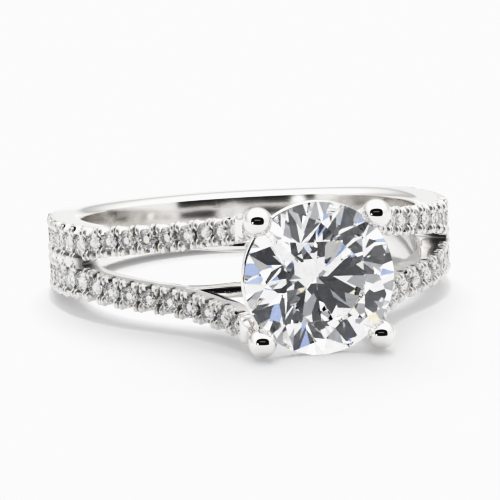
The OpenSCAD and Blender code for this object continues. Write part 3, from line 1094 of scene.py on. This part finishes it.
class RING_OT_set_beads(bpy.types.Operator):
    """Set the metal beads that hold the small stones, four between each two stones"""

    bl_idname = "ring.set_beads"
    bl_label = "Beads"

    def execute(self, context):
        scene = context.scene
        pave = scene.ring_pave
        arm = ArmShape(scene.ring_band, pave)
        bm = bmesh.new()
        bmesh.ops.create_icosphere(bm, subdivisions=2, radius=1.0)
        bmesh.ops.scale(bm, verts=bm.verts, vec=pave.bead_half)
        shape = finish_mesh(bm, "bead_pattern", FINEST_MERGE, sharp=80)
        pattern = bpy.data.objects.new("bead_pattern", shape)
        material = white_gold(scene.ring_finish, "bead_gold", scene.ring_finish.bead_rough)
        points = []
        for s in arm.bounds():
            height = arm.side(s, 0)[1]
            half = (arm.edge(height) - arm.gap(height)) / 2 - pave.bead_inset
            for step in (-1, 1):
                place = s + step * pave.bead_apart
                if not arm.row_start < place < arm.end - BEAD_END_GAP:
                    continue
                for across in (-1, 1):
                    points.append(row_frame(arm, place, pave.bead_half[2], across * half))
        everywhere = []
        for _, _, right, up in PLACES:
            everywhere += mirrored(points, right, up)
        values = {"Shape": pattern, "Spin": 0.0, "Tilt": BEAD_TILT, "Seed": BEAD_SEED}
        mesh = grow(seat_tree(material, True), guide_points(everywhere), values)
        bpy.data.objects.remove(pattern)
        set_down(mesh)
        beads = show("pave_beads", mesh, material)
        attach(beads, "root")
        return {"FINISHED"}


class RING_OT_set_centre_stone(bpy.types.Operator):
    """Set the large round brilliant"""

    bl_idname = "ring.set_centre_stone"
    bl_label = "Centre Stone"

    def execute(self, context):
        scene = context.scene
        stones, finishes = scene.ring_stones, scene.ring_finish
        bm = brilliant(stones.stone_d / 2, stones, CENTRE_SIDES)
        bmesh.ops.rotate(bm, verts=bm.verts, matrix=Matrix.Rotation(-math.pi / 2, 3, "X"))
        bmesh.ops.translate(bm, verts=bm.verts, vec=(0, stones.seat_h, 0))
        mesh = finish_mesh(bm, "centre_stone", FINE_MERGE)
        set_down(mesh)
        material = clear_stone(finishes, "diamond", rough=0.0, gleam=finishes.stone_gleam)
        stone = show("centre_brilliant", mesh, material)
        # Light passes through a real stone, so this one throws no shadow of its own
        stone.visible_shadow = False
        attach(stone, "root")
        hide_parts("centre_stone")
        return {"FINISHED"}


def direction(azimuth, elevation):
    """The unit vector towards a place round the ring. Azimuth 0 is where the stone looks to."""
    flat = math.cos(elevation)
    return Vector((math.sin(azimuth) * flat, -math.cos(azimuth) * flat, math.sin(elevation)))


def glow(name, tint, strength=1.0):
    """A plain glowing or dark material for a card."""
    material, nodes = new_material(name)
    shader = nodes.add("ShaderNodeEmission", Color=(*tint, 1), Strength=strength)
    nodes.add("ShaderNodeOutputMaterial", Surface=shader)
    return material


def card(name, place, size, material, distance=0.3, square=4.0):
    """A card with rounded corners that only mirrors and stones see.

    place is its azimuth and elevation, and size its half width and half height as the ring sees them,
    all in degrees. A higher square makes its corners tighter."""
    corners = 48
    azimuth, elevation = (math.radians(a) for a in place)
    towards = direction(azimuth, elevation)
    right = Vector((math.cos(azimuth), math.sin(azimuth), 0))
    up = right.cross(towards)
    half_w, half_h = (distance * math.tan(math.radians(half)) for half in size)
    middle = HOLE_MIDDLE + towards * distance
    points = []
    for i in range(corners):
        a = math.tau * i / corners
        c, s = math.cos(a), math.sin(a)
        r = (abs(c) ** square + abs(s) ** square) ** (-1 / square)
        points.append(middle + right * c * r * half_w + up * s * r * half_h)
    mesh = bpy.data.meshes.new(name)
    mesh.from_pydata(points, [], [list(range(corners))])
    obj = show(name, mesh, material)
    obj.visible_camera = False
    obj.visible_diffuse = False
    obj.visible_shadow = False
    return obj


def hang_lamp(name, light):
    """Puts a lamp into the scene that mirrors and stones don't see."""
    lamp = put(name, light)
    lamp.visible_glossy = False
    lamp.visible_transmission = False
    return lamp


class RING_OT_build_stage(bpy.types.Operator):
    """Build the floor, the white tent, the cards and the camera"""

    bl_idname = "ring.build_stage"
    bl_label = "Stage"

    def execute(self, context):
        scene = context.scene
        stage = scene.ring_stage
        self.lay_floor(stage)
        self.hang_tent(scene, stage)
        self.hang_key(stage)
        self.hang_inner_light(stage)
        self.hang_cards()
        self.place_camera(scene, stage)
        self.set_tones(scene.view_settings)
        scene.cycles.use_denoising = True
        scene.cycles.max_bounces = 24
        scene.cycles.glossy_bounces = 16
        scene.cycles.transmission_bounces = 24
        scene.cycles.sample_clamp_indirect = 8.0
        return {"FINISHED"}

    def set_tones(self, view):
        """Gives the picture its tone curve."""
        view.view_transform = "Standard"
        view.use_curve_mapping = True
        mapping = view.curve_mapping
        combined = mapping.curves[3]
        combined.points[1].location = FULL_WHITE
        for bright, shown in TONES:
            combined.points.new(bright, shown)
        mapping.extend = "HORIZONTAL"
        mapping.update()

    def lay_floor(self, stage):
        """A white floor that glows a little and ends in front of the ring."""
        material, nodes = new_material("white_floor")
        shader = nodes.add(
            "ShaderNodeBsdfPrincipled",
            Base_Color=(*stage.floor, 1),
            Roughness=0.6,
            Emission_Color=(1, 1, 1, 1),
            Emission_Strength=stage.floor_glow,
        )
        nodes.add("ShaderNodeOutputMaterial", Surface=shader)
        half = 1.2
        front = -stage.floor_front
        corners = [(-half, front, 0), (half, front, 0), (half, half, 0), (-half, half, 0)]
        mesh = bpy.data.meshes.new("floor")
        mesh.from_pydata(corners, [], [(0, 1, 2, 3)])
        show("floor", mesh, material)

    def hang_tent(self, scene, stage):
        """A white tent with a bright roof, a dimmer back wall and a bright horizon."""
        world = bpy.data.worlds.new("white_tent")
        scene.world = world
        world.use_nodes = True
        nodes = Nodes(world.node_tree)
        place = nodes.add("ShaderNodeTexCoord", output="Generated")
        away = nodes.add("ShaderNodeSeparateXYZ", None, place, output="Y")
        height = nodes.add("ShaderNodeSeparateXYZ", None, place, output="Z")
        behind = nodes.ramp(away, TENT_BACK_SPAN)
        above = nodes.ramp(height, TENT_ROOF_SPAN)
        wall = TENT_FRONT - behind * (TENT_FRONT - stage.back_wall)
        under = nodes.add("ShaderNodeMapRange", None, height, *TENT_UNDER_SPAN, 0.0, TENT_UNDER)
        horizon = nodes.ramp(height, TENT_HORIZON_SPAN, TENT_HORIZON, 0.0)
        bright = (wall + above * (1.0 - wall)).most(under).most(horizon * behind)
        tent = nodes.add("ShaderNodeBackground", Color=bright, Strength=stage.sky)
        nodes.add("ShaderNodeOutputWorld", Surface=tent)

    def hang_key(self, stage):
        """A wide soft lamp, high up behind the ring."""
        azimuth, elevation, distance = math.radians(165), math.radians(60), 0.6
        light = bpy.data.lights.new("soft_key", "AREA")
        light.shape = "DISK"
        light.size = 0.45
        light.energy = stage.key
        lamp = hang_lamp("soft_key", light)
        towards = direction(azimuth, elevation)
        lamp.matrix_world = towards.to_track_quat("Z", "Y").to_matrix().to_4x4()
        lamp.matrix_world.translation = towards * distance

    def hang_inner_light(self, stage):
        """A narrow lamp over the finger hole, which keeps the floor inside the ring as white as outside."""
        over_hole = Vector((0, 0.003, 0.3))
        light = bpy.data.lights.new("inner_light", "SPOT")
        light.energy = stage.inner
        light.spot_size = math.radians(5.2)
        light.spot_blend = 1.0
        light.shadow_soft_size = 0.012
        lamp = hang_lamp("inner_light", light)
        lamp.location = HOLE_MIDDLE + over_hole

    def hang_cards(self):
        """Dark cards in front, for the metal and for the stones, two small lamps, and the stones' glints."""
        opening = glow("camera_opening", (0.012, 0.012, 0.014))
        card("front_opening", (-13, 17), (50, 33), opening).visible_transmission = False
        dusk = glow("dusk", (0.4, 0.405, 0.42))
        card("stone_dusk", (-13, 20), (46, 31), dusk, distance=0.32).visible_glossy = False
        dim = glow("dim_opening", (0.12, 0.122, 0.13))
        card("stone_opening", (-13, 19), (36, 22), dim, distance=0.31).visible_glossy = False
        lamp = glow("small_lamp", (1, 1, 1), 2.0)
        card("side_lamp", (-50, 5), (6, 5), lamp, distance=0.28, square=2.0)
        strip = glow("strip_lamp", (1, 1, 1), 0.5)
        card("front_strip", (-13, 25), (22, 2.2), strip, distance=0.28, square=6.0)

        blue = glow("blue_glint", (0.5, 0.6, 0.9), 0.8)
        warm = glow("warm_glint", (1.0, 0.92, 0.68), 0.95)
        wide, small = (9, 7), (5, 4)
        groups = (
            (blue, wide, ((-62, 40), (-20, 66), (48, 52), (66, 12), (150, 28), (-100, 20))),
            (blue, small, ((-34, 8), (6, 31), (18, 4), (-30, 36))),
            (warm, wide, ((-44, 60), (30, 70), (80, 38), (-84, 8))),
            (warm, small, ((20, 24),)),
        )
        glints = [(tint, size, place) for tint, size, places in groups for place in places]
        for i, (tint, size, place) in enumerate(glints):
            glint = card(f"glint_{i}", place, size, tint, distance=0.27, square=2.0)
            glint.visible_glossy = False

    def place_camera(self, scene, stage):
        """The camera of the picture, which looks a little beside the finger hole's middle."""
        data = bpy.data.cameras.new("camera")
        data.lens = stage.lens
        data.clip_start = 0.01
        data.clip_end = 10
        camera = put("camera", data)
        back = direction(stage.azimuth, stage.elevation)
        level = Vector((math.cos(stage.azimuth), math.sin(stage.azimuth), 0))
        upright = back.cross(level)
        c, s = math.cos(stage.roll), math.sin(stage.roll)
        right, up = level * c - upright * s, level * s + upright * c
        aim = HOLE_MIDDLE + right * stage.aim_right + up * stage.aim_up
        camera.matrix_world = Matrix((right, up, back)).transposed().to_4x4()
        camera.matrix_world.translation = aim + back * stage.distance
        scene.camera = camera


class RING_PT_panel(bpy.types.Panel):
    """The ring's steps, in the order in which they are built"""

    bl_idname = "RING_PT_panel"
    bl_label = "Split Band Solitaire Ring"
    bl_space_type = "VIEW_3D"
    bl_region_type = "UI"
    bl_category = "Ring"

    def draw(self, context):
        for step in STEPS:
            self.layout.operator(step.bl_idname)


STEPS = (
    RING_OT_build_band,
    RING_OT_build_strands,
    RING_OT_build_rail,
    RING_OT_build_tips,
    RING_OT_set_small_stones,
    RING_OT_set_beads,
    RING_OT_set_centre_stone,
    RING_OT_build_stage,
)
GROUPS = {
    "ring_band": BandSizes,
    "ring_stones": StoneSizes,
    "ring_pave": PaveSizes,
    "ring_finish": Finishes,
    "ring_stage": StageSizes,
}


def register():
    for name, group in GROUPS.items():
        bpy.utils.register_class(group)
        setattr(bpy.types.Scene, name, PointerProperty(type=group))
    for item in (*STEPS, RING_PT_panel):
        bpy.utils.register_class(item)


def unregister():
    for item in (RING_PT_panel, *reversed(STEPS)):
        bpy.utils.unregister_class(item)
    for name, group in reversed(GROUPS.items()):
        delattr(bpy.types.Scene, name)
        bpy.utils.unregister_class(group)


def main():
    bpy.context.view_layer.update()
    register()
    for step in STEPS:
        group, name = step.bl_idname.split(".")
        getattr(getattr(bpy.ops, group), name)()


if __name__ == "__main__":
    main()
